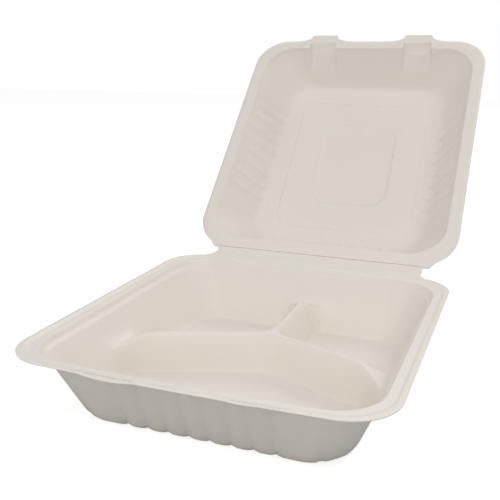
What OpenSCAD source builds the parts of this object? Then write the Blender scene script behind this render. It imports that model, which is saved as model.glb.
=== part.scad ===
// Hinged food container of moulded bagasse pulp, standing open.
// The tray has three compartments and a ribbed front wall. The lid leans back on a thin web of
// pulp, and has two locking tabs that face two slots in the tray's front rim.
// X runs along the hinge, Y points to the back and Z points up. The origin is the middle of the
// tray's underside. Each shell is an inner skin and an outer skin one pulp thickness away.

/* [Tray] */
// Width of the tray across its rim
tray_w = 230; // [215:1:250]
// Length of the tray from its front rim to its back rim
tray_d = 238; // [225:1:255]
// Height of the tray from its foot to its rim
tray_h = 46; // [38:1:56]
// Thickness of the tray's pulp
tray_t = 1; // [0.8:0.05:1.2]
// Corner radius of the tray's rim
rim_r = 30; // [24:1:32]
// Corner radius of the tray's foot
foot_r = 25; // [20:1:28]
// How far the foot lies inside the rim on the left and right
foot_in_side = 30.5; // [28:0.5:34]
// How far the foot lies inside the rim at the front and back
foot_in_end = 29; // [26:0.5:33]

/* [Tray rim] */
// Width of the flat lip around the rim
lip_w = 3.2; // [3:0.1:4]
// How far the ledge lies below the lip
ledge_drop = 1; // [0.4:0.1:1.6]
// Where the ledge ends and the wall starts, from the rim's edge
ledge_end = 10.2; // [9:0.1:11]
// Height of the steep band under the ledge
steep_h = 4; // [3:0.5:6]
// Inner edge of the sloping shoulder under that band, from the rim's edge
shoulder_in = 14; // [13:0.1:16]
// How far the shoulder drops from its outer to its inner edge
shoulder_drop = 1.8; // [1:0.1:2.5]

/* [Dividers] */
// Height of the dividers above the underside
divider_h = 27; // [20:1:34]
// Width of a divider's top
divider_w = 4.4; // [4:0.1:7]
// Steepness of a divider's sides, as height over width
divider_slope = 4; // [2.5:0.1:4.5]
// Where the dividers meet, to the right of the middle
divider_x = 5; // [0:0.5:8]
// Where the dividers meet, behind the middle
divider_y = 18; // [10:1:24]
// Angle at which the left and right dividers slant to the front
divider_slant = 21.5; // [12:0.5:24]
// How far a divider's top dips beside the wall
divider_dip = 7; // [0:0.5:10]
// Corner radius of a compartment where a divider meets the wall
wall_corner_r = 23; // [12:1:25]
// Corner radius of a compartment where the dividers meet
mid_corner_r = 12; // [8:1:14]

/* [Ribs] */
// Number of ribs on a ribbed wall
rib_count = 9; // [7:1:9]
// Width of one rib on the tray's front wall
tray_rib_w = 13; // [11:0.25:13]
// Width of one rib on the lid's walls
lid_rib_w = 13.4; // [12:0.1:14]
// Width of one rib on the lid's hinge wall
hinge_rib_w = 12.4; // [11:0.1:13]
// How far a rib stands out of the wall
rib_depth = 1.8; // [0.8:0.1:2]

/* [Slots and tabs] */
// Distance of each slot and tab from the middle
lock_x = 47.4; // [44:0.2:49]
// Length of a slot in the tray's front rim
slot_l = 34; // [30:1:36]
// Width of the strip of rim outside a slot
slot_strip = 2.2; // [1.8:0.05:2.2]
// How far that strip bows down in its middle
slot_bow = 1.2; // [0.5:0.1:2.5]
// Width of a tab at its tip
tab_w = 26.6; // [24:0.2:30]
// Width of a tab where it leaves the rim
tab_root_w = 40; // [34:0.5:42]
// How far a tab stands out of the rim
tab_l = 7; // [4:0.5:10]
// Width of the rim in front of a tab's channel
tab_rim = 3; // [2:0.5:5]

/* [Lid] */
// Width of the lid across its rim
lid_w = 227; // [215:1:240]
// Depth of the lid from its rim to its floor
lid_depth = 40; // [30:1:44]
// Thickness of the lid's pulp
lid_t = 0.55; // [0.5:0.05:0.8]
// Corner radius of the lid's rim
lid_r = 31; // [28:1:34]
// Corner radius of the lid's floor
lid_floor_r = 24; // [20:1:28]
// Width of the lid's flat rim
lid_rim_w = 10.6; // [9:0.2:12]
// How far the lid's floor lies inside its rim on the left and right
lid_in_side = 35.5; // [30:0.5:37]
// How far the lid's floor lies inside its rim at the hinge and the tabs
lid_in_end = 31; // [28:0.5:34]
// Inset of the raised square from the lid's rim
raised_in = 50; // [47:1:54]
// Inset of the sunk square from the lid's rim
sunk_in = 77.5; // [72:0.5:84]
// Height of the step round each square
square_step = 1.3; // [0.6:0.1:2]
// Corner radius of the raised square
raised_r = 17; // [14:1:20]
// Corner radius of the sunk square
sunk_r = 18; // [12:1:20]

/* [Hinge] */
// Width of the web from the tray's rim to the bend
web_tray = 15; // [12:0.5:16]
// Width of the web from the bend to the lid's rim
web_lid = 5; // [4:0.5:8]
// Half length of the web at its narrowest
web_half = 88.6; // [84:0.2:89]
// Angle of the lid's rim above the level in the pose shown
lid_tilt = 45.3; // [30:0.1:60]
// Clearance between the two halves of the web, and between the two rims when shut
hinge_gap = 0.3; // [0.2:0.05:0.5]

/* [Hidden] */
pulp = "AntiqueWhite";

// Driven sizes
half_gap = hinge_gap / 2;
lid_d = tray_d + web_tray - web_lid;
axis_y = tray_d / 2 + web_tray;
axis_z = tray_h + half_gap;
step_run = 1.6;
tray_floor_round = 6;
lid_floor_round = 9;
crest_round = 6;
saddle_round = 10;
junction_r = 8;
dip_near = 21;
dip_far = 44;
tray_rib_fade = 5;
lid_rib_fade = 2.4;
tab_edge = 0.8;
normal_step = 0.3;

// Numbers that lie on a path from a to b, and rounded steps and joins between surfaces
function mix(a, b, share) = a + (b - a) * share;
function share_of(a, b, v) = min(max((v - a) / (b - a), 0), 1);
function smooth(a, b, v) = let (s = share_of(a, b, v)) s * s * (3 - 2 * s);
function round_max(a, b, k) = max(a, b) + pow(max(k - abs(a - b), 0), 2) / (4 * k);
function round_min(a, b, k) = -round_max(-a, -b, k);
function unit(v) = v / norm(v);

// How far a point lies inside two edges that meet in a corner of radius r
function corner_in(a, b, r) = a < r && b < r ? r - norm([r - a, r - b]) : min(a, b);

// A row of rounded ribs with sharp valleys between them, from 0 in a valley to 1 on a rib
function ribs(v, rib_w) =
    abs(v) < rib_count * rib_w / 2 ? abs(sin(180 * (v / rib_w + rib_count / 2))) : 0;

// A rounded rectangle: its half length across at v, and where its corner's middle lies
function side_at(v, half, across, r) =
    half - r + (abs(v) > across - r ? sqrt(max(r * r - pow(abs(v) - across + r, 2), 0)) : r);
function corner_mid(half, r) = half - r * (1 - cos(45));

// Marks along one side of an outline. A mark is [share, place, rides]: its share of the way from
// the place to the corner's middle, or a distance from a divider's line that stretch multiplies.
CORNER_ANGLES = [45, 30, 15, 0];
function corner_shares(half, r, plain) =
    [for (a = CORNER_ANGLES) (half - r + r * sin(a) - plain) / (corner_mid(half, r) - plain)];
function side_marks(half, r, plain, inner) =
    let (shares = corner_shares(half, r, plain), last = len(shares) - 1)
    concat(
        [for (s = shares) [s, -plain, false]],
        [[0, -plain, false]],
        inner,
        [[0, plain, false]],
        [for (k = [0:last]) [shares[last - k], plain, false]]
    );
function mark_at(mark, mid, scale, line, stretch) =
    mark[2] ? line + mark[1] * stretch : mix(mark[1] * scale, sign(mark[1]) * mid, mark[0]);

// Places of ribs' valleys, flanks and crests
function rib_marks(rib_w, shift) =
    [for (k = [0:4 * rib_count]) [0, (k / 4 - rib_count / 2) * rib_w + shift, false]];

// The point of an outline's vertex i. The sides are the front, right, back and left, and each
// holds its own marks. Scale draws in the places on outlines too small for them.
function outline_count(sides) = len(sides[0]) + len(sides[1]) + len(sides[2]) + len(sides[3]) - 4;
function outline_point(i, a, b, r, sides, scale, line_l, line_r, stretch) =
    let (
        n0 = len(sides[0]) - 1,
        n1 = n0 + len(sides[1]) - 1,
        n2 = n1 + len(sides[2]) - 1,
        n3 = n2 + len(sides[3]) - 1,
        k = (i + n3) % n3,
        mx = corner_mid(a, r),
        my = corner_mid(b, r),
        v = k < n0 ? mark_at(sides[0][k], mx, scale[0], 0, 1)
            : k < n1 ? mark_at(sides[1][k - n0], my, scale[1], line_r, stretch)
            : k < n2 ? mark_at(sides[2][n2 - k], mx, scale[0], 0, 1)
            : mark_at(sides[3][n3 - k], my, scale[1], line_l, stretch)
    )
    k < n0 ? [v, -side_at(v, b, a, r)]
    : k < n1 ? [side_at(v, a, b, r), v]
    : k < n2 ? [v, side_at(v, b, a, r)]
    : [-side_at(v, a, b, r), v];
function side_of(i, sides) =
    let (
        n0 = len(sides[0]) - 1,
        n1 = n0 + len(sides[1]) - 1,
        n2 = n1 + len(sides[2]) - 1,
        n3 = n2 + len(sides[3]) - 1,
        k = (i + n3) % n3
    )
    k < n0 ? 0 : k < n1 ? 1 : k < n2 ? 2 : 3;

// Faces of a strip between two rows of vertices, of the open rows and of a ring
function quad(a, b, c, d) = [[a, d, c], [a, c, b]];
function join(lists) = [for (l = lists) each l];
function ring_faces(outer, inner, n, skip) =
    join([for (i = [0:n - 1]) if (!skip[i])
        quad(outer + i, outer + (i + 1) % n, inner + (i + 1) % n, inner + i)]);
function strip_faces(near, far) =
    join([for (k = [0:len(near) - 2]) quad(near[k], far[k], far[k + 1], near[k + 1])]);
function loop_faces(loop, lift) =
    join([for (k = [0:len(loop) - 1])
        let (a = loop[k], b = loop[(k + 1) % len(loop)]) [[a, b, b + lift], [a, b + lift, a + lift]]]);

// A closed shell: the inner skin's points and faces, the same set one thickness out, and the
// edge faces along each open loop
module shell(points, normals, faces, loops, t) {
    n = len(points);
    outer = [for (k = [0:n - 1]) points[k] - t * normals[k]];
    back = [for (f = faces) [for (k = [len(f) - 1:-1:0]) f[k] + n]];
    edges = join([for (l = loops) loop_faces(l, n)]);
    polyhedron(concat(points, outer), concat(faces, back, edges), convexity = 12);
}

// Tray: the outline's half sizes and corner radius at inset s, and its wall's height there
end_scale = (foot_in_end - shoulder_in) / (foot_in_side - shoulder_in);
function tray_half(s) = [
    tray_w / 2 - s,
    tray_d / 2 - (s < shoulder_in ? s : shoulder_in + (s - shoulder_in) * end_scale)
];
function tray_radius(s) = mix(rim_r, foot_r, share_of(0, foot_in_side, s));
steep_foot = [ledge_end + 1.4, tray_h - ledge_drop - steep_h];
wall_top = [shoulder_in, steep_foot[1] - shoulder_drop];
wall_slope = (wall_top[1] - tray_t) / (foot_in_side - wall_top[0]);
function tray_rim(s) =
    lookup(s, [
        [lip_w, tray_h],
        [lip_w + step_run, tray_h - ledge_drop],
        [ledge_end - 0.5, tray_h - ledge_drop],
        [ledge_end + 0.4, tray_h - ledge_drop - 0.7],
        steep_foot,
        wall_top
    ]);
function tray_wall(s) = s < wall_top[0] ? tray_rim(s) : wall_top[1] - wall_slope * (s - wall_top[0]);

// The inset of any point between the walls
function inset_at(x, y) =
    let (behind = tray_d / 2 - abs(y))
    min(tray_w / 2 - abs(x),
        behind < shoulder_in ? behind : shoulder_in + (behind - shoulder_in) / end_scale);

// Dividers: the line that the left and right ones follow, how far a point lies beside their tops,
// and the height of their tops, which dips beside the wall
function divider_line(x) =
    divider_y - tan(divider_slant) * sqrt(pow(x - divider_x, 2) + pow(junction_r, 2));
function beside_divider(x, y) =
    let (ahead = divider_line(x) - y)
    corner_in(
        abs(ahead) * cos(divider_slant) - divider_w / 2,
        abs(x - divider_x) + 3 * max(ahead, 0) - divider_w / 2,
        mid_corner_r
    );
function divider_top(x, y) = divider_h - divider_dip * (1 - smooth(dip_near, dip_far, inset_at(x, y)));

// The compartments: each is a pan with rounded corners, whose sides are the wall and the flanks
// of the dividers. Between two corners and the wall, the divider's top spreads into a saddle.
function pan_z(wall, x, y) =
    let (
        r = wall_corner_r,
        from_wall = (divider_h - wall) / wall_slope,
        beside = beside_divider(x, y),
        in_corner = from_wall < r && beside < r,
        p = pow(r - from_wall, 2),
        q = pow(r - beside, 2),
        wall_share = in_corner ? p / (p + q) : from_wall < beside ? 1 : 0,
        slope = mix(divider_slope, wall_slope, wall_share),
        pan = divider_h - slope * corner_in(from_wall, beside, r),
        top = divider_top(x, y),
        near = 1 - smooth(r / 2, r, beside),
        low = 1 - smooth(-2, 8, wall - top),
        cap = round_max(top, wall, max(saddle_round * near, 0.01))
    )
    round_min(cap, pan, max(crest_round * near * low, 0.01));

// The tray's inner skin over one point, whose inset is s
function slot_drop(x) =
    let (u = (abs(x) - lock_x) / (slot_l / 2))
    abs(u) < 1 ? slot_bow * (1 - u * u) : 0;
function tray_z(s, x, y, front) =
    let (
        rib = front ? rib_depth * ribs(x, tray_rib_w) * smooth(shoulder_in, shoulder_in + tray_rib_fade, s) : 0,
        wall = tray_wall(s + rib)
    )
    s < shoulder_in ? wall - (front && s < slot_strip + 0.35 ? slot_drop(x) : 0)
    : round_max(pan_z(wall, x, y), tray_t, tray_floor_round);

// Marks: the front and back share theirs, and the sides' rows follow the dividers
tray_plain_x = lock_x + slot_l / 2;
tray_plain_y = 74;
DIVIDER_ROWS = [-13, -9.5, -6.7, -4.3, -2.1, 0, 2.1, 4.3, 6.7, 9.5, 13];
REAR_ROWS = [30, 52];
function row_stretch(s) = 2 - smooth(dip_near, dip_far, s);
tray_front = side_marks(tray_w / 2, rim_r, tray_plain_x, rib_marks(tray_rib_w, 0));
tray_side = side_marks(tray_d / 2, rim_r, tray_plain_y,
    concat([for (v = DIVIDER_ROWS) [0, v, true]], [for (v = REAR_ROWS) [0, v, false]]));
tray_sides = [tray_front, tray_side, tray_front, tray_side];
tray_n = outline_count(tray_sides);
FOOT_INSETS = [foot_in_side - 2.4, foot_in_side - 0.7, foot_in_side + 0.9, foot_in_side + 2.7];
TRAY_INSETS = concat(
    [0, slot_strip, lip_w, lip_w + step_run, ledge_end - 0.5, ledge_end + 0.4, steep_foot[0]],
    [for (k = [0:3]) mix(shoulder_in, FOOT_INSETS[0], k / 4)],
    FOOT_INSETS
);
function tray_point(s, i) =
    let (
        h = tray_half(s),
        p = outline_point(i, h[0], h[1], tray_radius(s), tray_sides, [1, 1],
            divider_line(-h[0]), divider_line(h[0]), row_stretch(s))
    )
    [p[0], p[1], tray_z(s, p[0], p[1], side_of(i, tray_sides) == 0)];
function tray_normal(s, i) =
    unit(cross(
        tray_point(s, i + 1) - tray_point(s, i - 1),
        tray_point(s + normal_step, i) - tray_point(s - normal_step, i)
    ));

// The floor's grid inside the last outline. Its rows keep to the dividers' lines.
nx = len(tray_front) - 1;
ny = len(tray_side) - 1;
floor_s = TRAY_INSETS[len(TRAY_INSETS) - 1];
floor_ring = [for (i = [0:tray_n - 1]) tray_point(floor_s, i)];
first_row = len(CORNER_ANGLES) + 1;
last_row = first_row + len(DIVIDER_ROWS) - 1;
function ring_front(i) = floor_ring[i];
function ring_right(j) = floor_ring[nx + j];
function ring_back(i) = floor_ring[nx + ny + nx - i];
function ring_left(j) = floor_ring[(tray_n - j) % tray_n];
function floor_xy(i, j) =
    let (
        u = (ring_front(i)[0] - ring_front(0)[0]) / (ring_front(nx)[0] - ring_front(0)[0]),
        x = mix(ring_left(j)[0], ring_right(j)[0], u),
        stretch = row_stretch(tray_w / 2 - abs(x)),
        low = divider_line(x) + DIVIDER_ROWS[0] * stretch,
        high = divider_line(x) + DIVIDER_ROWS[len(DIVIDER_ROWS) - 1] * stretch,
        from = j < first_row ? 0 : last_row,
        to = j < first_row ? first_row : ny,
        left = share_of(ring_left(from)[1], ring_left(to)[1], ring_left(j)[1]),
        right = share_of(ring_right(from)[1], ring_right(to)[1], ring_right(j)[1]),
        v = mix(left, right, u)
    )
    j < first_row ? [x, mix(ring_front(i)[1], low, v)]
    : j > last_row ? [x, mix(high, ring_back(i)[1], v)]
    : [x, divider_line(x) + DIVIDER_ROWS[j - first_row] * stretch];
function floor_point(i, j) =
    j == 0 ? ring_front(i)
    : j == ny ? ring_back(i)
    : i == 0 ? ring_left(j)
    : i == nx ? ring_right(j)
    : let (p = floor_xy(i, j))
        [p[0], p[1], tray_z(max(inset_at(p[0], p[1]), floor_s), p[0], p[1], false)];
floor_grid = [for (i = [0:nx]) [for (j = [0:ny]) floor_point(i, j)]];
function floor_normal(i, j) =
    unit(cross(floor_grid[i + 1][j] - floor_grid[i - 1][j], floor_grid[i][j + 1] - floor_grid[i][j - 1]));
floor_start = tray_n * len(TRAY_INSETS);
function floor_index(i, j) =
    let (ring = floor_start - tray_n)
    j == 0 ? ring + i
    : i == nx ? ring + nx + j
    : j == ny ? ring + nx + ny + nx - i
    : i == 0 ? ring + (tray_n - j) % tray_n
    : floor_start + (i - 1) * (ny - 1) + j - 1;

// The web's half on the tray: rows of [distance from the rim, half length] behind the rim
web_flare = tray_w / 2 - rim_r + rim_r * sin(15);
TRAY_WEB_ROWS = [
    [2.5, web_half + 1.5], [6, web_half + 0.2], [10.5, web_half - 0.3], [web_tray - half_gap, web_half]
];
web_first = nx + ny + 2;
web_last = nx + ny + nx - 2;
web_ring = [for (i = [web_first:web_last]) i];
tray_web_start = floor_start + (nx - 1) * (ny - 1);
tray_web_points = [for (row = TRAY_WEB_ROWS) for (i = web_ring)
    [tray_point(0, i)[0] * row[1] / web_flare, tray_d / 2 + row[0], tray_h]];
function web_row(start, count, k) = [for (i = [0:count - 1]) start + k * count + i];
function web_rows(ring, start, rows) =
    concat([ring], [for (k = [0:rows - 1]) web_row(start, len(ring), k)]);
function rows_faces(rows) = join([for (k = [0:len(rows) - 2]) strip_faces(rows[k], rows[k + 1])]);

// The way round a patch of rows, from its first vertex on the rim to its last
function patch_edge(rows) =
    let (far = len(rows) - 1, end = len(rows[0]) - 1)
    concat(
        [for (r = rows) r[0]],
        [for (k = [1:end - 1]) rows[far][k]],
        [for (k = [far:-1:0]) rows[k][end]]
    );

// Steps of the front rim that a slot spans, its columns and the way round its hole
function step_mid(i) = (tray_point(0, i)[0] + tray_point(0, i + 1)[0]) / 2;
function in_slot(i, side) = i >= 0 && i < nx && abs(step_mid(i) - side * lock_x) < slot_l / 2;
function slot_columns(side) = [for (i = [0:nx]) if (in_slot(i, side) || in_slot(i - 1, side)) i];
function slot_loop(columns) =
    concat(
        [for (k = [len(columns) - 1:-1:0]) tray_n + columns[k]],
        [for (c = columns) 2 * tray_n + c]
    );

module tray() {
    rings = len(TRAY_INSETS);
    rows = web_rows(web_ring, tray_web_start, len(TRAY_WEB_ROWS));
    slots = [for (side = [-1, 1]) slot_columns(side)];
    holes = [for (i = [0:tray_n - 1]) in_slot(i, -1) || in_slot(i, 1)];
    points = concat(
        [for (s = TRAY_INSETS) for (i = [0:tray_n - 1]) tray_point(s, i)],
        [for (i = [1:nx - 1]) for (j = [1:ny - 1]) floor_grid[i][j]],
        tray_web_points
    );
    normals = concat(
        [for (s = TRAY_INSETS) for (i = [0:tray_n - 1]) tray_normal(s, i)],
        [for (i = [1:nx - 1]) for (j = [1:ny - 1]) floor_normal(i, j)],
        [for (p = tray_web_points) [0, 0, 1]]
    );
    faces = concat(
        join([for (k = [0:rings - 2])
            ring_faces(k * tray_n, (k + 1) * tray_n, tray_n, k == 1 ? holes : [])]),
        join([for (i = [0:nx - 1]) for (j = [0:ny - 1])
            quad(floor_index(i, j), floor_index(i + 1, j),
                floor_index(i + 1, j + 1), floor_index(i, j + 1))]),
        rows_faces(rows)
    );
    rim = concat(
        [for (i = [0:web_first - 1]) i],
        patch_edge(rows),
        [for (i = [web_last + 1:tray_n - 1]) i]
    );
    color(pulp) shell(points, normals, faces, concat([rim], [for (s = slots) slot_loop(s)]), tray_t);
}

// Lid: built with its rim level and its hollow up, Y running from the bend to the tabs
function lid_half(s) = [
    lid_w / 2 - s,
    lid_d / 2 - lookup(s, [[0, 0], [lid_rim_w, lid_rim_w], [lid_in_side, lid_in_end],
        [raised_in, raised_in], [sunk_in, sunk_in], [sunk_in + 5, sunk_in + 5]])
];
function lid_radius(s) =
    lookup(s, [[0, lid_r], [lid_in_side, lid_floor_r], [raised_in, raised_r], [sunk_in, sunk_r]]);
lid_steep = [lid_rim_w + 1, -3];
function lid_wall(s) =
    let (
        rim = lookup(s, [
            [lid_rim_w - 0.6, 0], [lid_rim_w + 0.2, -0.5], [lid_rim_w + 0.6, -1.6], lid_steep
        ]),
        wall = mix(-lid_depth, lid_steep[1], (lid_in_side - s) / (lid_in_side - lid_steep[0]))
    )
    s < lid_steep[0] ? rim : round_max(wall, -lid_depth, lid_floor_round);
function squares(s) =
    square_step * (smooth(raised_in - 1.5, raised_in + 1.5, s) - smooth(sunk_in - 1.5, sunk_in + 1.5, s));

// A tab's channel draws the wall out to the rim's edge, and fades away half way down
tab_foot = 24;
function in_tab(x) = 1 - smooth(tab_w / 2 - tab_edge, tab_w / 2 + tab_edge, abs(abs(x) - lock_x));
function channel(s, x) = in_tab(x) * (lid_rim_w - tab_rim) * (1 - share_of(tab_rim, tab_foot, s));
lid_plain_x = lock_x + tab_root_w / 2;
lid_plain_y = 68;
lid_rib_shift = -3;
TAB_PLACES = [for (v = [tab_w / 2 + tab_edge, tab_w / 2 - tab_edge, 0, tab_edge - tab_w / 2,
    -tab_edge - tab_w / 2, -tab_root_w / 2]) lock_x + v];
tab_marks = concat(
    [for (v = TAB_PLACES) [0, -v, false]],
    [[0, 0, false]],
    [for (k = [len(TAB_PLACES) - 1:-1:0]) [0, TAB_PLACES[k], false]]
);
lid_hinge_side = side_marks(lid_w / 2, lid_r, lid_plain_x, rib_marks(hinge_rib_w, 0));
lid_tab_side = side_marks(lid_w / 2, lid_r, lid_plain_x, tab_marks);
lid_side = side_marks(lid_d / 2, lid_r, lid_plain_y, rib_marks(lid_rib_w, lid_rib_shift));
lid_sides = [lid_hinge_side, lid_side, lid_tab_side, lid_side];
lid_n = outline_count(lid_sides);
fit_s = lid_in_side + 1;
LID_INSETS = [
    0, tab_rim, tab_rim + 1.6, lid_rim_w - 0.6, lid_rim_w + 0.2, lid_steep[0],
    lid_steep[0] + lid_rib_fade, 18, tab_foot,
    29.5, 33, fit_s, lid_in_side + 6.3, raised_in - 1.5, raised_in + 1.5, sunk_in - 1.5, sunk_in + 1.5
];
function lid_scale(s) =
    let (at = lid_half(s), fit = lid_half(fit_s))
    s < fit_s ? [1, 1]
    : [corner_mid(at[0], lid_radius(s)) / corner_mid(fit[0], lid_radius(fit_s)),
        corner_mid(at[1], lid_radius(s)) / corner_mid(fit[1], lid_radius(fit_s))];
function lid_rib(side, x, y) =
    side == 0 ? ribs(x, hinge_rib_w) : side == 2 ? 0 : ribs(y - lid_rib_shift, lid_rib_w);
function lid_point(s, i) =
    let (
        h = lid_half(s),
        p = outline_point(i, h[0], h[1], lid_radius(s), lid_sides, lid_scale(s), 0, 0, 1),
        side = side_of(i, lid_sides),
        rib = rib_depth * lid_rib(side, p[0], p[1]) * smooth(lid_steep[0], lid_steep[0] + lid_rib_fade, s),
        drawn = side == 2 ? channel(s, p[0]) : 0
    )
    [p[0], p[1], lid_wall(s + rib + drawn) + squares(s)];
function lid_normal(s, i) =
    s > sunk_in + 1 ? [0, 0, 1]
    : unit(cross(
        lid_point(s, i + 1) - lid_point(s, i - 1),
        lid_point(s + normal_step, i) - lid_point(s - normal_step, i)
    ));

// The web's half on the lid, then the tongues: rows of [distance from the rim, half length]
lx = len(lid_hinge_side) - 1;
ly = len(lid_side) - 1;
lid_flare = lid_w / 2 - lid_r + lid_r * sin(30);
LID_WEB_ROWS = [[web_lid / 2, web_half + 1.5], [web_lid - half_gap, web_half]];
TONGUE_ROWS = [[2, tab_w / 2 + 2.2], [tab_l - 2.5, tab_w / 2 + 0.5], [tab_l, tab_w / 2]];
lid_web_ring = [for (i = [1:lx - 1]) i];
lid_web_points = [for (row = LID_WEB_ROWS) for (i = lid_web_ring)
    [lid_point(0, i)[0] * row[1] / lid_flare, -lid_d / 2 - row[0], 0]];
tab_side_end = lx + ly + len(lid_tab_side) - 1;
function tongue_ring(side) =
    [for (i = [lx + ly:tab_side_end])
        if (abs(lid_point(0, i)[0] - side * lock_x) < tab_root_w / 2 + 0.01) i];
tongue_rings = [tongue_ring(1), tongue_ring(-1)];
tongue_points = [for (k = [0, 1]) for (row = TONGUE_ROWS) for (i = tongue_rings[k])
    let (mid = (1 - 2 * k) * lock_x, far = lid_point(0, i)[0] - mid)
    [mid + far * row[1] * 2 / tab_root_w, lid_d / 2 + row[0], 0]];

module lid() {
    rings = len(LID_INSETS);
    web_start = rings * lid_n;
    tongue_start = web_start + len(lid_web_points);
    tongue_size = len(TONGUE_ROWS) * len(tongue_rings[0]);
    web = web_rows(lid_web_ring, web_start, len(LID_WEB_ROWS));
    tongues = [for (k = [0, 1])
        web_rows(tongue_rings[k], tongue_start + k * tongue_size, len(TONGUE_ROWS))];
    added = concat(lid_web_points, tongue_points);
    points = concat([for (s = LID_INSETS) for (i = [0:lid_n - 1]) lid_point(s, i)], added);
    normals = concat(
        [for (s = LID_INSETS) for (i = [0:lid_n - 1]) lid_normal(s, i)],
        [for (p = added) [0, 0, 1]]
    );
    faces = concat(
        join([for (k = [0:rings - 2]) ring_faces(k * lid_n, (k + 1) * lid_n, lid_n, [])]),
        [[for (i = [lid_n - 1:-1:0]) (rings - 1) * lid_n + i]],
        rows_faces(web),
        rows_faces(tongues[0]),
        rows_faces(tongues[1])
    );
    end = len(tongue_rings[0]) - 1;
    rim = concat(
        [0],
        patch_edge(web),
        [for (i = [lx:tongue_rings[0][0] - 1]) i],
        patch_edge(tongues[0]),
        [for (i = [tongue_rings[0][end] + 1:1:tongue_rings[1][0] - 1]) i],
        patch_edge(tongues[1]),
        [for (i = [tongue_rings[1][end] + 1:lid_n - 1]) i]
    );
    color(pulp)
        translate([0, axis_y, axis_z])
            rotate([lid_tilt, 0, 0])
                translate([0, web_lid + lid_d / 2, -half_gap])
                    shell(points, normals, faces, [rim], lid_t);
}

tray();
lid();
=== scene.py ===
# %% [markdown]
# # A hinged food container of moulded bagasse pulp
# The real thing is one piece. Wet sugar-cane pulp is sucked onto a mesh mould, pressed hot
# and trimmed, so it has one wall thickness, soft inner corners and a matt, faintly mottled
# skin. We make it the same way: one open skin that follows the mould, thickened afterwards.
# The tray and the lid meet in a web of pulp that bends, so the skin runs on across the hinge.

import math

import bpy
import numpy as np
from mathutils import Matrix, Vector, noise


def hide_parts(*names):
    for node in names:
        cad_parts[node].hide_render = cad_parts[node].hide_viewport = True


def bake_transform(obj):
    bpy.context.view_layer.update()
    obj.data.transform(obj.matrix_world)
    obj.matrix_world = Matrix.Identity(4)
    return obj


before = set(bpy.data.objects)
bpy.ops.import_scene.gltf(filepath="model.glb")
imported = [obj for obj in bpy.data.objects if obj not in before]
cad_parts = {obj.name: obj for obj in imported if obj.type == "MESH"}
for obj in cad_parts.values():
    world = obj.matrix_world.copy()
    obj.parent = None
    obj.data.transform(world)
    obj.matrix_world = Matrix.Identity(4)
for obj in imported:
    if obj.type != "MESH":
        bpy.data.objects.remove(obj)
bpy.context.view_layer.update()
MM = 0.001

# %% [markdown]
# ## The mould's sizes
# A mould maker works from a table of sizes, so we start with one, in millimetres. The origin
# is the middle of the tray's underside, X runs along the hinge and Y runs to the back. Each
# half has a width w, a depth d, a height h and a pulp thickness t. Its rim's corners have the
# radius r, and the wall's foot lies "side" and "end" inside the rim. The bend is WEB_TRAY
# behind the tray's rim and WEB_LID before the lid's. Tabs and slots lie LOCK_X off the middle.

# %% Sizes of the tray and the lid
TRAY = {"w": 230.0, "d": 238.0, "h": 46.0, "t": 1.0, "r": 30.0}
TRAY |= {"foot_r": 25.0, "side": 30.5, "end": 29.0}
LID = {"w": 227.0, "d": 248.0, "h": 40.0, "t": 0.55, "r": 31.0}
LID |= {"floor_r": 24.0, "side": 35.5, "end": 31.0}
WEB_TRAY, WEB_LID, WEB_HALF = 15.0, 5.0, 88.6
HINGE = (0.0, TRAY["d"] / 2 + WEB_TRAY, TRAY["h"] + 0.15)
LID_TILT = math.radians(45.3)
LOCK_X, SLOT_L, TAB_W, TAB_ROOT = 47.4, 34.0, 26.6, 40.0
RIBS = 9
FRONT_RIB_W, LID_END_RIB_W, LID_SIDE_RIB_W = 13.3, 12.4, 13.4
LID_RIBS_ASIDE = 3.0


def smooth(a, b, v):
    """0 before a, 1 after b, and an S-shaped step between them."""
    s = np.clip((v - a) / (b - a), 0, 1)
    return s * s * (3 - 2 * s)


def round_max(a, b, k):
    """The higher of two surfaces, with a fillet of size k where they meet."""
    return np.maximum(a, b) + np.maximum(k - abs(a - b), 0) ** 2 / (4 * k)


def round_min(a, b, k):
    """The lower of two surfaces, with the meeting edge rounded by k."""
    return -round_max(-a, -b, k)


def corner_in(a, b, r):
    """How far inside two edges that meet in a corner of radius r."""
    rounded = r - np.hypot(r - a, r - b)
    return np.where((a < r) & (b < r), rounded, np.minimum(a, b))


print("hinge line at", HINGE)

# %% [markdown]
# ## Outlines that never lose count
# Every level line of the mould is a rounded rectangle. If each one has the same number of
# points, in the same order, neighbours can be joined with quads all the way down the wall.
# A side's points are kept as marks. A mark between the corners stays where it is, so that
# ribs run straight down, and the marks of a corner slide along with the corner. A mark that
# rides goes with the dividers, whose line it is given.

# %% One side of an outline
CORNER_ANGLES = (45, 30, 15, 0)


def corner_mid(half, r):
    """How far out the middle of a corner's arc lies."""
    return half - r * (1 - math.cos(math.pi / 4))


def side_at(v, half, across, r):
    """How far out a side lies at v, round its corners."""
    into = np.maximum(np.abs(v) - (across - r), 0)
    return half - r + np.sqrt(np.maximum(r * r - into**2, 0))


def make_side(half, r, plain, inner, steps, to_plain=5, to_inner=3, corner=(3, 3, 3)):
    """Marks (share, place, rides) and how many points lie between each mark and the next."""
    mid = corner_mid(half, r)
    out = [half - r + r * math.sin(math.radians(a)) for a in CORNER_ANGLES]
    shares = [(v - plain) / (mid - plain) for v in out]
    left = [(s, -plain, 0) for s in shares] + [(0, -plain, 0)]
    right = [(0, plain, 0)] + [(s, plain, 0) for s in reversed(shares)]
    counts = [*corner, to_plain, to_inner, *steps, to_inner, to_plain, *reversed(corner)]
    return {"marks": np.array(left + inner + right, float), "counts": counts}


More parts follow.
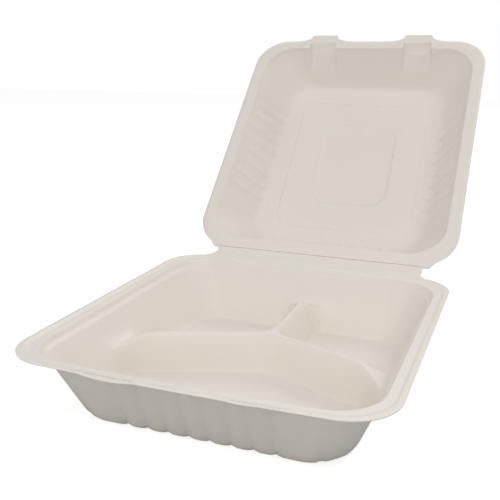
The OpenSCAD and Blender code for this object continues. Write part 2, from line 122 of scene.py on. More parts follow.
def side_points(side, mid, scale=1.0, line=0.0, stretch=1.0):
    """The side's coordinates on an outline whose corner middles are at plus and minus mid."""
    share, place, rides = side["marks"].T
    fixed = place * scale + (np.sign(place) * mid - place * scale) * share
    coarse = np.where(rides > 0, line + place * stretch, fixed)
    at = np.concatenate([[0], np.cumsum(side["counts"])])
    return np.interp(np.arange(at[-1] + 1), at, coarse)


RIB_SHARES = (0, 0.07, 0.16, 0.3, 0.5, 0.7, 0.84, 0.93)


def rib_places(width, shift=0.0):
    """Marks across a row of ribs, closest together beside the sharp valleys."""
    places = [k + share for k in range(RIBS) for share in RIB_SHARES] + [RIBS]
    return [(0, (v - RIBS / 2) * width + shift, 0) for v in places]


def ribs(v, width):
    """Round ribs with sharp valleys, 0 in a valley and 1 on a rib."""
    return np.where(np.abs(v) < RIBS * width / 2, np.abs(np.sin(np.pi * (v / width + RIBS / 2))), 0)


# %% A whole outline
def outline(a, b, r, sides, scale=(1.0, 1.0), lines=(0.0, 0.0), stretch=1.0):
    """Points of a closed outline from the front left, anticlockwise, and the side of each."""
    mx, my = corner_mid(a, r), corner_mid(b, r)
    front, back = (side_points(sides[k], mx, scale[0]) for k in (0, 2))
    right = side_points(sides[1], my, scale[1], lines[1], stretch)
    left = side_points(sides[3], my, scale[1], lines[0], stretch)
    front_y, right_x = -side_at(front, b, a, r), side_at(right, a, b, r)
    back_y, left_x = side_at(back, b, a, r), -side_at(left, a, b, r)
    x = np.concatenate([front[:-1], right_x[:-1], back[:0:-1], left_x[:0:-1]])
    y = np.concatenate([front_y[:-1], right[:-1], back_y[:0:-1], left[:0:-1]])
    lengths = [len(front) - 1, len(right) - 1, len(back) - 1, len(left) - 1]
    return x, y, np.repeat([0, 1, 2, 3], lengths)


# %% [markdown]
# ## The tray's surface
# The height of the mould depends on how far a point lies inside the rim. That gives the lip,
# the ledge, a stacking shoulder, the wall and the rounded foot. The three compartments are
# pans with rounded corners, so where a divider meets the wall its top spreads into a saddle.
# A steep band and a shelf under the ledge let empty containers stack without jamming.

# %% The tray's profile from the rim inwards
LEDGE_DROP, LEDGE_FROM, LEDGE_TO = 1.0, 3.0, 5.0
STEEP_IN, STEEP_TOP, STEEP_SLOPE = 10.2, 45.0, 2.9
SHELF_IN, SHELF_TOP, SHELF_SLOPE = 11.6, 41.0, 0.75
SHOULDER_IN, WALL_TOP = 14.0, 39.2
WALL_SLOPE = (WALL_TOP - TRAY["t"]) / (TRAY["side"] - SHOULDER_IN)
END_SCALE = (TRAY["end"] - SHOULDER_IN) / (TRAY["side"] - SHOULDER_IN)


def tray_half(s):
    """Half the width and depth of the tray's level line that lies s inside its rim."""
    g = s if s < SHOULDER_IN else SHOULDER_IN + (s - SHOULDER_IN) * END_SCALE
    return TRAY["w"] / 2 - s, TRAY["d"] / 2 - g


def inset_at(x, y):
    """How far a point between the walls lies inside the rim."""
    behind = TRAY["d"] / 2 - np.abs(y)
    stretched = SHOULDER_IN + (behind - SHOULDER_IN) / END_SCALE
    behind = np.where(behind < SHOULDER_IN, behind, stretched)
    return np.minimum(TRAY["w"] / 2 - np.abs(x), behind)


def tray_radius(s):
    return TRAY["r"] + (TRAY["foot_r"] - TRAY["r"]) * min(s / TRAY["side"], 1)


def tray_wall(s):
    """Lip, soft step down to the ledge, steep band, shoulder and drafted wall."""
    ledge = TRAY["h"] - LEDGE_DROP * smooth(LEDGE_FROM, LEDGE_TO, s)
    steep = STEEP_TOP - (s - STEEP_IN) * STEEP_SLOPE
    shoulder = SHELF_TOP - (s - SHELF_IN) * SHELF_SLOPE
    main = WALL_TOP - WALL_SLOPE * (s - SHOULDER_IN)
    below = round_max(steep, round_min(shoulder, main, 0.8), 0.8)
    return round_min(ledge, below, 1.3)


# %% The compartments between the dividers
# x and y place the middle of the dividers. The branch to the hinge leaves the cross divider
# there, and SLANT is the cross divider's angle. The tops dip between DIP_FAR and DIP_NEAR.
DIV = {"top": 27.0, "w": 4.4, "slope": 4.0, "x": 5.0, "y": 18.0, "bend": 8.0, "dip": 7.0}
SLANT = math.radians(21.5)
DIP_NEAR, DIP_FAR = 21.0, 44.0
WALL_CORNER_R, MID_CORNER_R = 23.0, 12.0
SADDLE_R, CREST_R, FLOOR_R, SHARP = 10.0, 6.0, 6.0, 0.01
BRANCH_END = 3.0


def divider_line(x):
    """Where the middle of the cross divider lies. It bends back softly beside the branch."""
    return DIV["y"] - math.tan(SLANT) * np.sqrt((x - DIV["x"]) ** 2 + DIV["bend"] ** 2)


def beside_divider(x, y):
    """How far a point lies beside the dividers' tops."""
    ahead = divider_line(x) - y
    cross = np.abs(ahead) * math.cos(SLANT) - DIV["w"] / 2
    along = np.abs(x - DIV["x"]) + BRANCH_END * np.maximum(ahead, 0) - DIV["w"] / 2
    return corner_in(cross, along, MID_CORNER_R)


def pan_z(wall, x, y):
    """The pans' sides and the dividers' tops, which dip beside the wall."""
    r = WALL_CORNER_R
    from_wall, beside = (DIV["top"] - wall) / WALL_SLOPE, beside_divider(x, y)
    p, q = (r - from_wall) ** 2, (r - beside) ** 2
    wall_share = np.where((from_wall < r) & (beside < r), p / (p + q), from_wall < beside)
    slope = DIV["slope"] + (WALL_SLOPE - DIV["slope"]) * wall_share
    pan = DIV["top"] - slope * corner_in(from_wall, beside, r)
    top = DIV["top"] - DIV["dip"] * (1 - smooth(DIP_NEAR, DIP_FAR, inset_at(x, y)))
    near = 1 - smooth(r / 2, r, beside)
    low = 1 - smooth(-2, 8, wall - top)
    cap = round_max(top, wall, np.maximum(SADDLE_R * near, SHARP))
    return round_min(cap, pan, np.maximum(CREST_R * near * low, SHARP))


# %% [markdown]
# ## The front rim and the front wall
# Two slots in the front rim take the lid's tabs. Each leaves a thin strip of pulp outside it.
# The left strip has been bent, so it bows down and shows its face, and the right one has
# hardly moved. Grooves run down the outside of the front wall and stiffen it. Beside the web
# the rim has a crease, where the hot mould pinches the pulp so that it folds there.

# %% Slots, strips, grooves and creases
STRIP_W, LEFT_SLOT_LONGER = 1.6, 6.5
SLOTS = (
    (-LOCK_X - SLOT_L / 2, -LOCK_X + SLOT_L / 2 + LEFT_SLOT_LONGER),
    (LOCK_X - SLOT_L / 2, LOCK_X + SLOT_L / 2),
)
# Middle, half length and drop of each strip's bow.
BOWS = ((-41.0, 18.3, 1.7), (LOCK_X - 9.0, 9.0, 0.5))
GROOVE_DEPTH, GROOVE_FROM, GROOVE_FULL = 2.6, 12.5, 15.5
CREASE_DEPTH, EDGE_DROP, EDGE_W = 0.8, 0.3, 0.9
WEB_ROOT_HALF = 94.0


def strip_drop(s, x):
    """How far the strips outside the slots bow down, most at their outer edge."""
    bow = sum(drop * np.maximum(1 - ((x - mid) / half) ** 2, 0) for mid, half, drop in BOWS)
    return bow * (1 - 0.5 * s)


def tray_z(s, x, y, front):
    """Height of the mould, s inside the rim."""
    grooved = front & (np.abs(x) <= (RIBS - 1) / 2 * FRONT_RIB_W)
    cut = GROOVE_DEPTH * (ribs(x, FRONT_RIB_W) - 1) * smooth(GROOVE_FROM, GROOVE_FULL, s)
    at_web = (y > TRAY["d"] / 2 - 2) & (np.abs(x) < WEB_ROOT_HALF)
    edge = np.where(at_web, CREASE_DEPTH, EDGE_DROP) * np.maximum(1 - s / EDGE_W, 0)
    wall = tray_wall(s + np.where(grooved, cut, 0)) - edge
    pan = round_max(pan_z(wall, x, y), TRAY["t"], FLOOR_R)
    strip = np.where(front & (s < STRIP_W + 0.3), strip_drop(s, x), 0)
    return np.where(s < SHOULDER_IN, wall, pan) - strip


# %% The tray's rings of points
DIVIDER_ROWS = (-13, -9.5, -6.7, -4.3, -2.1, 0, 2.1, 4.3, 6.7, 9.5, 13)
RIB_STEPS = [1] * (len(RIB_SHARES) * RIBS)
SLOT_END = LOCK_X + SLOT_L / 2
across = make_side(
    TRAY["w"] / 2, TRAY["r"], SLOT_END, rib_places(FRONT_RIB_W), RIB_STEPS, corner=(3, 3, 6)
)
rows = [(0, v, 1) for v in DIVIDER_ROWS] + [(0, 30, 0), (0, 52, 0)]
along = make_side(TRAY["d"] / 2, TRAY["r"], 74.0, rows, [3] * 10 + [4, 4], 4, 6)
TRAY_SIDES = (across, along, across, along)
TRAY_RINGS = (
    0, 0.4, 0.9, STRIP_W, 2.1, 3.2, 3.6, 4.0, 4.4, 4.9, 6.2, 7.6, 8.6, 9.2, 9.6, 10.0, 10.4,
    10.8, 11.2, 11.6, 12.0, 12.6, 13.2, 13.7, 14.1, 14.6, 15.4, 16.4, 17.4, 18.4, 19.4, 20.4,
    21.4, 22.4, 23.4, 24.4, 25.4, 26.4, 27.4, 28.2, 29.0, 29.8, 30.6, 31.4, 32.2, 33.2, 34.5,
)


def row_stretch(s):
    """Rows that follow the dividers spread apart beside the wall."""
    return 2 - smooth(DIP_NEAR, DIP_FAR, s)


def tray_ring(s):
    a, b = tray_half(s)
    lines = (divider_line(-a), divider_line(a))
    x, y, side = outline(a, b, tray_radius(s), TRAY_SIDES, (1, 1), lines, row_stretch(s))
    return np.stack([x, y, tray_z(s, x, y, side == 0)], 1)


tray_rings = [tray_ring(s) for s in TRAY_RINGS]
NX, NY = sum(across["counts"]), sum(along["counts"])
TRAY_N = len(tray_rings[0])
print("tray:", len(tray_rings), "rings of", TRAY_N, "points; floor grid", NX, "by", NY)

# %% [markdown]
# ## The tray's floor
# Rings would pinch in the middle, where the dividers need fine rows. So the last ring is
# filled with a grid, and its rows bend with the dividers, to keep each ridge straight.

# %% Fill the last ring with a grid
def fill_grid(ring, nx, ny, marks_y, ride_rows):
    """Grid points [i, j] inside a ring. Rows between the two ride rows follow the dividers."""
    front, right = ring[: nx + 1], ring[nx : nx + ny + 1]
    back = ring[nx + ny : 2 * nx + ny + 1][::-1]
    left = np.vstack([ring[2 * nx + ny :], ring[:1]])[::-1]
    first, last = ride_rows
    u = (front[:, 0] - front[0, 0]) / (front[-1, 0] - front[0, 0])
    x = left[None, :, 0] * (1 - u[:, None]) + right[None, :, 0] * u[:, None]
    line, stretch = divider_line(x), row_stretch(TRAY["w"] / 2 - np.abs(x))
    y = np.zeros_like(x)
    for j in range(ny + 1):
        if first <= j <= last:
            y[:, j] = line[:, j] + marks_y[j] * stretch[:, j]
            continue
        a, b = (0, first) if j < first else (last, ny)
        share = [(side[j, 1] - side[a, 1]) / (side[b, 1] - side[a, 1]) for side in (left, right)]
        v = share[0] * (1 - u) + share[1] * u
        low = front[:, 1] if j < first else line[:, j] + marks_y[last] * stretch[:, j]
        high = line[:, j] + marks_y[first] * stretch[:, j] if j < first else back[:, 1]
        y[:, j] = low * (1 - v) + high * v
    return x[1:-1, 1:-1], y[1:-1, 1:-1]


at = np.concatenate([[0], np.cumsum(along["counts"])])
row_offset = np.interp(np.arange(at[-1] + 1), at, along["marks"][:, 1])
ride = np.flatnonzero(along["marks"][:, 2])
gx, gy = fill_grid(tray_rings[-1], NX, NY, row_offset, (at[ride[0]], at[ride[-1]]))
gs = np.maximum(inset_at(gx, gy), TRAY_RINGS[-1])
grid_points = np.stack([gx, gy, tray_z(gs, gx, gy, False)], -1).reshape(-1, 3)
print("floor grid of", len(grid_points), "points")

# %% [markdown]
# ## The lid's surface
# The lid is a shallower dish. Its left, right and hinge walls are scooped into ribs that
# stiffen it. At the front two channels run down the wall behind the tabs, because the mould
# has to carry the pulp straight out into each tongue. The floor has a raised square, and a
# smaller one stepped back again, which keep the thin sheet flat.

# %% The lid's profile and details
LID_STEEP_IN, LID_STEEP_SLOPE = 10.6, 3.0
LID_WALL_IN, LID_WALL_DROP = 11.6, 3.0
SQUARE_RISE, SQUARE_IN, SUNK_DROP, SUNK_IN = 1.2, 50.0, 1.5, 77.5
CHANNEL_DEPTH, CHANNEL_FROM, CHANNEL_TO, CHANNEL_SOFT = 7.6, 3.0, 24.0, 0.8


def lid_half(s):
    """Half the width and depth of the lid's level line that lies s inside its rim."""
    places = [0, LID_STEEP_IN, LID["side"], SQUARE_IN, 150]
    g = np.interp(s, places, [0, LID_STEEP_IN, LID["end"], SQUARE_IN, 150])
    return LID["w"] / 2 - s, LID["d"] / 2 - float(g)


def lid_radius(s):
    places = [0, LID["side"], SQUARE_IN, SUNK_IN, 104]
    return float(np.interp(s, places, [LID["r"], LID["floor_r"], 17, 18, 7]))


def lid_wall(s, fillet):
    """Flat rim, short steep band and drafted wall, down to the lid's floor."""
    steep = -LID_STEEP_SLOPE * (s - LID_STEEP_IN)
    share = (LID["side"] - s) / (LID["side"] - LID_WALL_IN)
    main = -LID["h"] + (LID["h"] - LID_WALL_DROP) * share
    return round_max(round_min(0 * s, round_max(steep, main, 0.8), 0.9), -LID["h"], fillet)


def squares(s):
    """The raised square, and the one stepped back again inside it."""
    raised = SQUARE_RISE * smooth(SQUARE_IN - 0.8, SQUARE_IN + 0.8, s)
    return raised - SUNK_DROP * smooth(SUNK_IN - 1, SUNK_IN + 1, s)


def channel(s, x):
    """How much further in the wall would be without the channel behind a tab."""
    beside = np.abs(np.abs(x) - LOCK_X)
    inside = 1 - smooth(TAB_W / 2 - CHANNEL_SOFT, TAB_W / 2 + CHANNEL_SOFT, beside)
    share = 1 - np.clip((s - CHANNEL_FROM) / (CHANNEL_TO - CHANNEL_FROM), 0, 1)
    return inside * CHANNEL_DEPTH * share


flank = (TAB_W / 2 + CHANNEL_SOFT, TAB_W / 2 - CHANNEL_SOFT)
tab_places = [LOCK_X + v for v in (*flank, 0, -flank[1], -flank[0], -TAB_ROOT / 2)]
tab_places += [0] + [-v for v in reversed(tab_places)]
tab_marks = [(0, -v, 0) for v in tab_places]
tab_steps = [4, 6, 6, 4, 3, 6, 6, 3, 4, 6, 6, 4]
PLAIN_X, PLAIN_Y = LOCK_X + TAB_ROOT / 2, 68.0
end_ribs, side_ribs = rib_places(LID_END_RIB_W), rib_places(LID_SIDE_RIB_W, -LID_RIBS_ASIDE)
hinge_side = make_side(LID["w"] / 2, LID["r"], PLAIN_X, end_ribs, RIB_STEPS)
tab_side = make_side(LID["w"] / 2, LID["r"], PLAIN_X, tab_marks, tab_steps)
lid_side = make_side(LID["d"] / 2, LID["r"], PLAIN_Y, side_ribs, RIB_STEPS, 6, 2)
LID_SIDES = (hinge_side, lid_side, tab_side, lid_side)
LID_RINGS = (
    0, 0.7, 1.4, 2.2, 3.0, 3.6, 4.4, 6.0, 7.8, 9.2, 10.0, 10.4, 10.8, 11.2, 11.7, 12.4, 13.2,
    14.2, 16, 17.6, 19.2, 20.8, 22.4, 24, 25.6, 27.2, 28.8, 30.2, 31.6, 33, 34.6, 36.5, 39, 41.8,
    45, 48.8, 49.4, 49.9, 50.4, 51.2, 56, 62, 69, 76, 76.8, 77.4, 78.0, 78.9, 84, 91, 98, 104,
)

# The ribs are scoops in the wall, with a tighter fillet at their lower end. The rim's edge is
# turned back a little, and the squares lean aside towards the hinge.
FIT_S = 36.5
SCOOP_DEPTH, SCOOP_FROM, SCOOP_FULL = 2.3, 11.6, 14.0
LID_FILLET, SCOOP_FILLET = 9.0, 6.0
TURNED_BACK, TURNED_W = 1.1, 3.4
SKEW, SKEW_FROM, SKEW_FULL, SKEW_D = 3.2, 42.0, 49.0, 148.0


def lid_scale(s):
    """Inside the wall's foot, the points of a level line close in with its corners."""
    if s < FIT_S:
        return 1.0, 1.0
    fit, fit_r = lid_half(FIT_S), lid_radius(FIT_S)
    now = [corner_mid(half, lid_radius(s)) for half in lid_half(s)]
    return now[0] / corner_mid(fit[0], fit_r), now[1] / corner_mid(fit[1], fit_r)


def lid_ring(s):
    (a, b), r = lid_half(s), lid_radius(s)
    x, y, side = outline(a, b, r, LID_SIDES, lid_scale(s))
    side_rib = ribs(y + LID_RIBS_ASIDE, LID_SIDE_RIB_W)
    rib = np.where(side == 0, ribs(x, LID_END_RIB_W), np.where(side == 2, 0, side_rib))
    rib = rib**0.8 * smooth(SCOOP_FROM, SCOOP_FULL, s)
    beside_tab = np.abs(np.abs(x) - LOCK_X)
    at_tab = np.where(side == 2, 1 - smooth(TAB_ROOT / 2, TAB_ROOT / 2 + 6, beside_tab), 0)
    drawn = np.where(side == 2, channel(s, x), 0)
    fillet = LID_FILLET - (LID_FILLET - SCOOP_FILLET) * rib
    z = lid_wall(s + SCOOP_DEPTH * rib + drawn, fillet) + squares(s)
    turned = np.where(side == 0, 0, TURNED_BACK * (1 - at_tab))
    z = z - turned * max(1 - s / TURNED_W, 0) ** 2
    x = x + SKEW * smooth(SKEW_FROM, SKEW_FULL, s) * np.clip(0.5 - y / SKEW_D, 0, 1)
    return np.stack([x, y + WEB_LID + LID["d"] / 2, z], 1)


lid_rings = [lid_ring(s) for s in LID_RINGS]
LID_N = len(lid_rings[0])
LX, LY = sum(hinge_side["counts"]), sum(lid_side["counts"])
print("lid:", len(lid_rings), "rings of", LID_N, "points")

# %% [markdown]
# ## The web and the tongues
# The web is a strip with concave ends, which leaves the tray's back rim level and bends up to
# the lid. It is a living hinge, so its middle rows follow a small arc, not a sharp crease. Its
# last rows drop into a crease under the lid's rim. The tongues leave the rim's far side with
# curved shoulders and have rounded tips.

# %% Rows of the web and the tongues
def place_lid(points):
    """Turn lid points about the bend, from level to the lid's place in the photo."""
    p = np.asarray(points, float)
    c, s = math.cos(LID_TILT), math.sin(LID_TILT)
    z = p[:, 2] + TRAY["h"] - HINGE[2]
    return np.stack([p[:, 0], HINGE[1] + p[:, 1] * c - z * s, HINGE[2] + p[:, 1] * s + z * c], 1)


WEB_SKIP = 6
web_from, web_to = NX + NY + WEB_SKIP, NX + NY + NX - WEB_SKIP
web_ring = np.arange(web_from, web_to + 1)
web_x = tray_rings[0][web_ring, 0] / abs(tray_rings[0][web_from, 0])


def web_row(half, y, z):
    """One row across the web, which is 2 * half wide there."""
    return np.stack([web_x * half, np.full_like(web_x, y), np.full_like(web_x, z)], 1)


# Distance from the rim and half width. The lid's rows also have the crease's depth.
TRAY_WEB_ROWS = (
    (0.8, 92.2), (1.6, 90.9), (2.6, 90.0), (4.2, 89.2), (6.5, 88.8), (9, 88.5), (11.4, 88.4),
    (13.0, 88.5),
)
LID_WEB_ROWS = (
    (2.0, 88.7, 0), (2.9, 89.1, 0), (3.7, 90.2, 0), (4.1, 91.2, 0.1), (4.6, 93.0, 1.1),
    (4.9, 94.6, 1.1),
)
tray_web = [web_row(half, TRAY["d"] / 2 + out, TRAY["h"]) for out, half in TRAY_WEB_ROWS]
BEND_R, BEND_STEPS = 1.6, 4
reach = BEND_R * math.tan(LID_TILT / 2)
bend = []
for k in range(BEND_STEPS + 1):
    a = LID_TILT * k / BEND_STEPS
    y, z = HINGE[1] - reach + BEND_R * math.sin(a), TRAY["h"] + BEND_R * (1 - math.cos(a))
    bend.append(web_row(WEB_HALF, y, z))
lid_web = [place_lid(web_row(half, v, -drop)) for v, half, drop in LID_WEB_ROWS]
lid_web_ring = np.arange(3, LX - 3 + 1)


TONGUE_ROWS = (0.6, 1.2, 2.0, 3.0, 4.2, 5.4, 6.2, 6.7, 7.0)
SHOULDER_L, TIP_R = 4.6, 1.3


def tongue(ring):
    """Rows of one tongue, outwards from its stretch of the rim."""
    base = lid_rings[0][ring]
    mid = math.copysign(LOCK_X, base[:, 0].mean())
    far = (base[:, 0] - mid) / (TAB_ROOT / 2)
    made = []
    for dist in TONGUE_ROWS:
        shoulder = (TAB_ROOT - TAB_W) / 2 * max(1 - dist / SHOULDER_L, 0) ** 2
        into_tip = max((dist - TONGUE_ROWS[-1] + TIP_R) / TIP_R, 0)
        tip = TIP_R * (1 - math.sqrt(max(1 - into_tip**2, 0)))
        across_tongue = mid + far * (TAB_W / 2 + shoulder - tip)
        made.append(np.stack([across_tongue, base[:, 1] + dist, np.zeros(len(base))], 1))
    return made


tab_range = np.arange(LX + LY, LX + LY + sum(tab_side["counts"]) + 1)
tab_x = lid_rings[0][tab_range % LID_N, 0]
tongue_rings = [tab_range[np.abs(tab_x - v) < TAB_ROOT / 2 + 0.01] for v in (LOCK_X, -LOCK_X)]
tongues = [tongue(ring) for ring in tongue_rings]
print("web of", len(web_ring), "columns meets", len(lid_web_ring), "on the lid")

# %% [markdown]
# ## One skin
# All rows are now joined with quads into a single open sheet. The two slots are left out of
# the front rim, so the strip in front of each stands free.

# %% Points and faces of the skin
class Skin:
    """Points, quads, and how much each point belongs to the lid."""

    def __init__(self):
        self.points, self.faces, self.lid = [], [], []

    def add(self, points, lid):
        """Add a row of points and return their numbers."""
        start = len(self.points)
        self.points += [tuple(p) for p in points]
        self.lid += [lid] * len(points)
        return np.arange(start, len(self.points))

    def join(self, near, far, closed=False, skip=()):
        """Quads between two rows, seen anticlockwise from the food's side."""
        n = len(near)
        for i in range(n if closed else n - 1):
            if i not in skip:
                k = (i + 1) % n
                self.faces.append((near[i], near[k], far[k], far[i]))


skin = Skin()
print("skin started with", len(skin.points), "points")

# %% Join the tray
tray_ids = [skin.add(r, 0.0) for r in tray_rings]
front_mid = (tray_rings[0][:NX, 0] + tray_rings[0][1 : NX + 1, 0]) / 2
holes = set(np.flatnonzero([any(a < v < b for a, b in SLOTS) for v in front_mid]))
for k in range(len(tray_ids) - 1):
    skin.join(tray_ids[k], tray_ids[k + 1], True, holes if TRAY_RINGS[k] == STRIP_W else ())
inner = skin.add(grid_points, 0.0).reshape(NX - 1, NY - 1)
whole = np.zeros((NX + 1, NY + 1), int)
last_ids = tray_ids[-1]
whole[1:-1, 1:-1] = inner
whole[:, 0] = last_ids[: NX + 1]
whole[-1, :] = last_ids[NX : NX + NY + 1]
whole[:, -1] = last_ids[NX + NY : 2 * NX + NY + 1][::-1]
whole[0, :] = np.concatenate([last_ids[2 * NX + NY :], last_ids[:1]])[::-1]
for j in range(NY):
    skin.join(whole[:, j], whole[:, j + 1])
print("tray:", len(skin.faces), "faces")

# %% Join the lid, the web and the tongues
lid_ids = [skin.add(place_lid(r), 1.0) for r in lid_rings]
for k in range(len(lid_ids) - 1):
    skin.join(lid_ids[k], lid_ids[k + 1], True)
skin.faces.append(tuple(lid_ids[-1]))
path = [tray_ids[0][web_ring]]
for k, row in enumerate(tray_web + bend + lid_web):
    path.append(skin.add(row, min(max((k - len(tray_web)) / BEND_STEPS, 0), 1)))
path.append(lid_ids[0][lid_web_ring][::-1])
for near, far in zip(path[:-1], path[1:]):
    skin.join(far, near)
for ring, rows_out in zip(tongue_rings, tongues):
    path = [lid_ids[0][ring % LID_N]] + [skin.add(place_lid(r), 1.0) for r in rows_out]
    for near, far in zip(path[:-1], path[1:]):
        skin.join(far, near)
print("skin:", len(skin.points), "points,", len(skin.faces), "faces")

# %% [markdown]
# ## What drying does
# Pulp shrinks as it dries, so no edge stays true. The front rim sags between the corners, and
# broad, very shallow waves cross the flat areas. Such waves could be drawn in the material,
# but then the rim's outline would stay straight. The tray's foot stays flat.

# %% Warp the skin slightly
FRONT_SAG, SAG_HALF = 1.1, 92.0
WAVE_HEIGHT, WAVE_LENGTH = 0.15, 38.0
points = np.array(skin.points)
is_lid = np.array(skin.lid)
x, y, z = points.T
at_front = (1 - is_lid) * smooth(-60, -112, y) * smooth(4, 45, z)
sag = FRONT_SAG * at_front * np.clip(1 - (x / SAG_HALF) ** 2, 0, 1)
points[:, 2] -= sag
wave = np.array([noise.noise(Vector(p / WAVE_LENGTH)) for p in points])
points[:, 2] += WAVE_HEIGHT * wave * np.where(is_lid > 0.5, 1, smooth(2, 12, z))
print("front rim lowered by up to", round(float(sag.max()), 2), "mm")

# %% [markdown]
# ## Thickness
# A Solidify modifier gives the sheet its thickness on the outer side, so the side that the
# mould shapes keeps its sizes. The lid's pulp is thinner than the tray's, which a vertex group
# tells the modifier.

# %% Make the object
mesh = bpy.data.meshes.new("pulp_container")
mesh.from_pydata((points * MM).tolist(), [], [tuple(int(v) for v in f) for f in skin.faces])
mesh.validate()
mesh.update()
container = bpy.data.objects.new("pulp_container", mesh)
bpy.context.scene.collection.objects.link(container)
group = container.vertex_groups.new(name="thick")
for share in sorted(set(skin.lid)):
    which = [int(i) for i in np.flatnonzero(is_lid == share)]
    group.add(which, 1 - share * (1 - LID["t"] / TRAY["t"]), "REPLACE")
print("mesh:", len(mesh.polygons), "faces")

# %% Give it thickness
solid = container.modifiers.new("thickness", "SOLIDIFY")
solid.thickness = TRAY["t"] * MM
solid.offset = -1
solid.use_even_offset = True
solid.thickness_clamp = 1
solid.vertex_group = "thick"
bpy.context.view_layer.update()
thickened = container.evaluated_get(bpy.context.evaluated_depsgraph_get())
done = bpy.data.meshes.new_from_object(thickened)
container.modifiers.clear()
container.data = done
done.shade_smooth()
done.set_sharp_from_angle(angle=math.radians(55))
done.calc_loop_triangles()
print("container:", len(done.vertices), "points,", len(done.loop_triangles), "triangles")

# %% [markdown]
# ## The material: pressed bagasse pulp
# Unbleached sugar-cane fibre, pressed hot in a smooth mould. It is off-white with a warm
# tinge, and the hot pressing leaves a dull shine on it. Close up the fibres give a faint
# mottling and a fine tooth, with a few darker specks of rind. A single fibre is too fine to
# show, so the tooth is drawn at the size of a small bundle. A trace of sheen stands for the
# fibre ends that catch light at a flat angle.

# %% Colours and a node helper
def linear(code):
    """A hex colour as the shader needs it."""
    parts = [int(code[k : k + 2], 16) / 255 for k in (1, 3, 5)]
    return [c / 12.92 if c <= 0.04045 else ((c + 0.055) / 1.055) ** 2.4 for c in parts] + [1.0]


def add_node(tree, kind, settings=None, inputs=None):
    """One node with its settings, its input values and its links."""
    made = tree.nodes.new(kind)
    for name, value in (settings or {}).items():
        setattr(made, name, value)
    for name, value in (inputs or {}).items():
        socket = made.inputs[name]
        if isinstance(value, bpy.types.NodeSocket):
            tree.links.new(value, socket)
        else:
            socket.default_value = value
    return made


# %% The pulp
pulp = bpy.data.materials.new("pressed_bagasse_pulp")
pulp.use_nodes = True
tree = pulp.node_tree
tree.nodes.clear()
place = add_node(tree, "ShaderNodeTexCoord").outputs["Object"]
FLOCK_MM, FIBRE_MM, SPECK_MM, TOOTH_MM = 9.0, 1.1, 14.0, 0.12
PULP_DARKER, PULP_LIGHTER, RIND = linear("#F1EAE1"), linear("#F3EDE5"), linear("#B9A88F")
PULP_ROUGHNESS, PULP_IOR = 0.42, 1.47


def grain(size_mm, detail):
    """A noise value whose blotches are about as large as size_mm."""
    values = {"Vector": place, "Scale": 1 / (size_mm * MM), "Detail": detail, "Roughness": 0.6}
    return add_node(tree, "ShaderNodeTexNoise", inputs=values).outputs["Fac"]


flock, fibre = grain(FLOCK_MM, 4.0), grain(FIBRE_MM, 3.0)
mottled = {"Factor": flock, "A": PULP_DARKER, "B": PULP_LIGHTER}
tone = add_node(tree, "ShaderNodeMix", {"data_type": "RGBA"}, mottled)
spread = {"Vector": place, "Scale": 1 / (SPECK_MM * MM)}
speck = add_node(tree, "ShaderNodeTexVoronoi", inputs=spread)
near = {"Value": speck.outputs["Distance"], "From Min": 0.02, "From Max": 0.05}
dot = add_node(tree, "ShaderNodeMapRange", inputs={**near, "To Min": 0.35, "To Max": 0.0})
specked = {"Factor": dot.outputs["Result"], "A": tone.outputs["Result"], "B": RIND}
colour = add_node(tree, "ShaderNodeMix", {"data_type": "RGBA"}, specked)
relief = {"Strength": 0.45, "Distance": TOOTH_MM * MM, "Height": fibre}
tooth = add_node(tree, "ShaderNodeBump", inputs=relief)
finish = {"Roughness": PULP_ROUGHNESS, "IOR": PULP_IOR, "Normal": tooth.outputs["Normal"]}
finish |= {"Base Color": colour.outputs["Result"], "Sheen Weight": 0.12, "Sheen Roughness": 0.6}
skin_shader = add_node(tree, "ShaderNodeBsdfPrincipled", inputs=finish)
add_node(tree, "ShaderNodeOutputMaterial", inputs={"Surface": skin_shader.outputs["BSDF"]})
done.materials.clear()
done.materials.append(pulp)
print("material:", pulp.name)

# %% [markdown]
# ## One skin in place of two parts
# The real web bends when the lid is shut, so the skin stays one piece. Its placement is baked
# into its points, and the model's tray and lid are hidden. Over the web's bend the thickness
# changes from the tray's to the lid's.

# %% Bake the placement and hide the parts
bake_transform(container)
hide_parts("tray", "lid")

# %% [markdown]
# ## Floor and light
# The photo has a white ground and hardly any shadow, as in a light tent. So the world gives an
# even fill, and six broad, weak lamps stand around. The floor is pale grey to the light. For
# the camera alone it also glows, which makes it white but keeps a trace of the shadow.

# %% Floor
FLOOR_GREY, FLOOR_GLOW, FLOOR_HALF = linear("#C4C4C4"), 0.75, 3.0
WHITE = (1, 1, 1, 1)
floor_mesh = bpy.data.meshes.new("floor")
corners = ((-1, -1), (1, -1), (1, 1), (-1, 1))
floor_corners = [(x * FLOOR_HALF, y * FLOOR_HALF, 0) for x, y in corners]
floor_mesh.from_pydata(floor_corners, [], [(0, 1, 2, 3)])
floor = bpy.data.objects.new("floor", floor_mesh)
floor.location.z = -0.0002
bpy.context.scene.collection.objects.link(floor)
paper = bpy.data.materials.new("white_paper_floor")
paper.use_nodes = True
tree = paper.node_tree
tree.nodes.clear()
matt = add_node(tree, "ShaderNodeBsdfDiffuse", inputs={"Color": FLOOR_GREY})
glow = add_node(tree, "ShaderNodeEmission", inputs={"Color": WHITE, "Strength": FLOOR_GLOW})
seen = add_node(tree, "ShaderNodeLightPath").outputs["Is Camera Ray"]
both = add_node(tree, "ShaderNodeAddShader")
tree.links.new(matt.outputs["BSDF"], both.inputs[0])
tree.links.new(glow.outputs["Emission"], both.inputs[1])
mixed = add_node(tree, "ShaderNodeMixShader", inputs={"Fac": seen})
tree.links.new(matt.outputs["BSDF"], mixed.inputs[1])
tree.links.new(both.outputs["Shader"], mixed.inputs[2])
add_node(tree, "ShaderNodeOutputMaterial", inputs={"Surface": mixed.outputs["Shader"]})
floor_mesh.materials.append(paper)
print("floor:", paper.name)

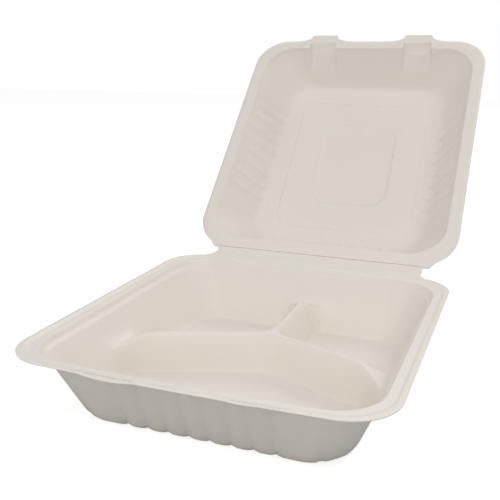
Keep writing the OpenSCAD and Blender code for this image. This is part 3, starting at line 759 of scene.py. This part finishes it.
# %% World
WORLD_FILL = 0.39
world = bpy.data.worlds.new("studio")
bpy.context.scene.world = world
world.use_nodes = True
tree = world.node_tree
tree.nodes.clear()
fill = add_node(tree, "ShaderNodeBackground", inputs={"Color": WHITE, "Strength": WORLD_FILL})
white = add_node(tree, "ShaderNodeBackground", inputs={"Color": WHITE, "Strength": 1.0})
seen = add_node(tree, "ShaderNodeLightPath").outputs["Is Camera Ray"]
mixed = add_node(tree, "ShaderNodeMixShader", inputs={"Fac": seen})
tree.links.new(fill.outputs["Background"], mixed.inputs[1])
tree.links.new(white.outputs["Background"], mixed.inputs[2])
add_node(tree, "ShaderNodeOutputWorld", inputs={"Surface": mixed.outputs["Shader"]})
print("world fill", WORLD_FILL)


# %% Lamps
def lamp(name, place, size, watts, at=(0, 0.06, 0.08)):
    """A square lamp of the given side in metres that faces the container."""
    light = bpy.data.lights.new(name, "AREA")
    light.size, light.energy = size, watts
    made = bpy.data.objects.new(name, light)
    made.location = place
    made.rotation_euler = (Vector(at) - Vector(place)).to_track_quat("-Z", "Y").to_euler()
    bpy.context.scene.collection.objects.link(made)


lamp("key", (1.1, -0.2, 1.5), 0.6, 3.1)
lamp("left", (-1.3, -1.2, 0.9), 1.0, 2.8)
lamp("front", (0.35, -1.7, 0.8), 1.0, 5.3)
lamp("top_front", (0.1, -0.9, 1.6), 0.5, 5.0)
lamp("back_top", (-0.3, 1.5, 1.3), 1.0, 4.4)
lamp("back_right", (0.9, 1.2, 1.2), 0.8, 5.2)

# %% [markdown]
# ## Camera
# The lens and the viewpoint come from the rim's corners and the silhouette in the photograph.
# The photo is a crop, so a small shift moves the picture and not the perspective.

# %% Camera
FOCAL_PX, CENTRE_PX, IMAGE_PX = 720.5, (262.1, 230.1), 500
SENSOR_MM, VIEWPOINT = 36, Vector((165.0, -420.9, 215.6))
YAW, PITCH, ROLL = (math.radians(v) for v in (20.9, 13.98, 0.17))
level = Vector((-math.sin(YAW), math.cos(YAW), 0))
forward = level * math.cos(PITCH) - Vector((0, 0, math.sin(PITCH)))
right = Vector((math.cos(YAW), math.sin(YAW), 0))
up = right.cross(forward)
c, s = math.cos(ROLL), math.sin(ROLL)
right, up = right * c + up * s, up * c - right * s
camera = bpy.data.objects.new("camera", bpy.data.cameras.new("camera"))
camera.data.sensor_width = SENSOR_MM
camera.data.lens = FOCAL_PX / IMAGE_PX * SENSOR_MM
camera.data.shift_x = (IMAGE_PX / 2 - CENTRE_PX[0]) / IMAGE_PX
camera.data.shift_y = (CENTRE_PX[1] - IMAGE_PX / 2) / IMAGE_PX
turn = Matrix((right, up, -forward)).transposed().to_4x4()
camera.matrix_world = Matrix.Translation(VIEWPOINT * MM) @ turn
bpy.context.scene.collection.objects.link(camera)
bpy.context.scene.camera = camera
bpy.context.scene.view_settings.view_transform = "Standard"
print("lens", round(camera.data.lens, 2), "mm")
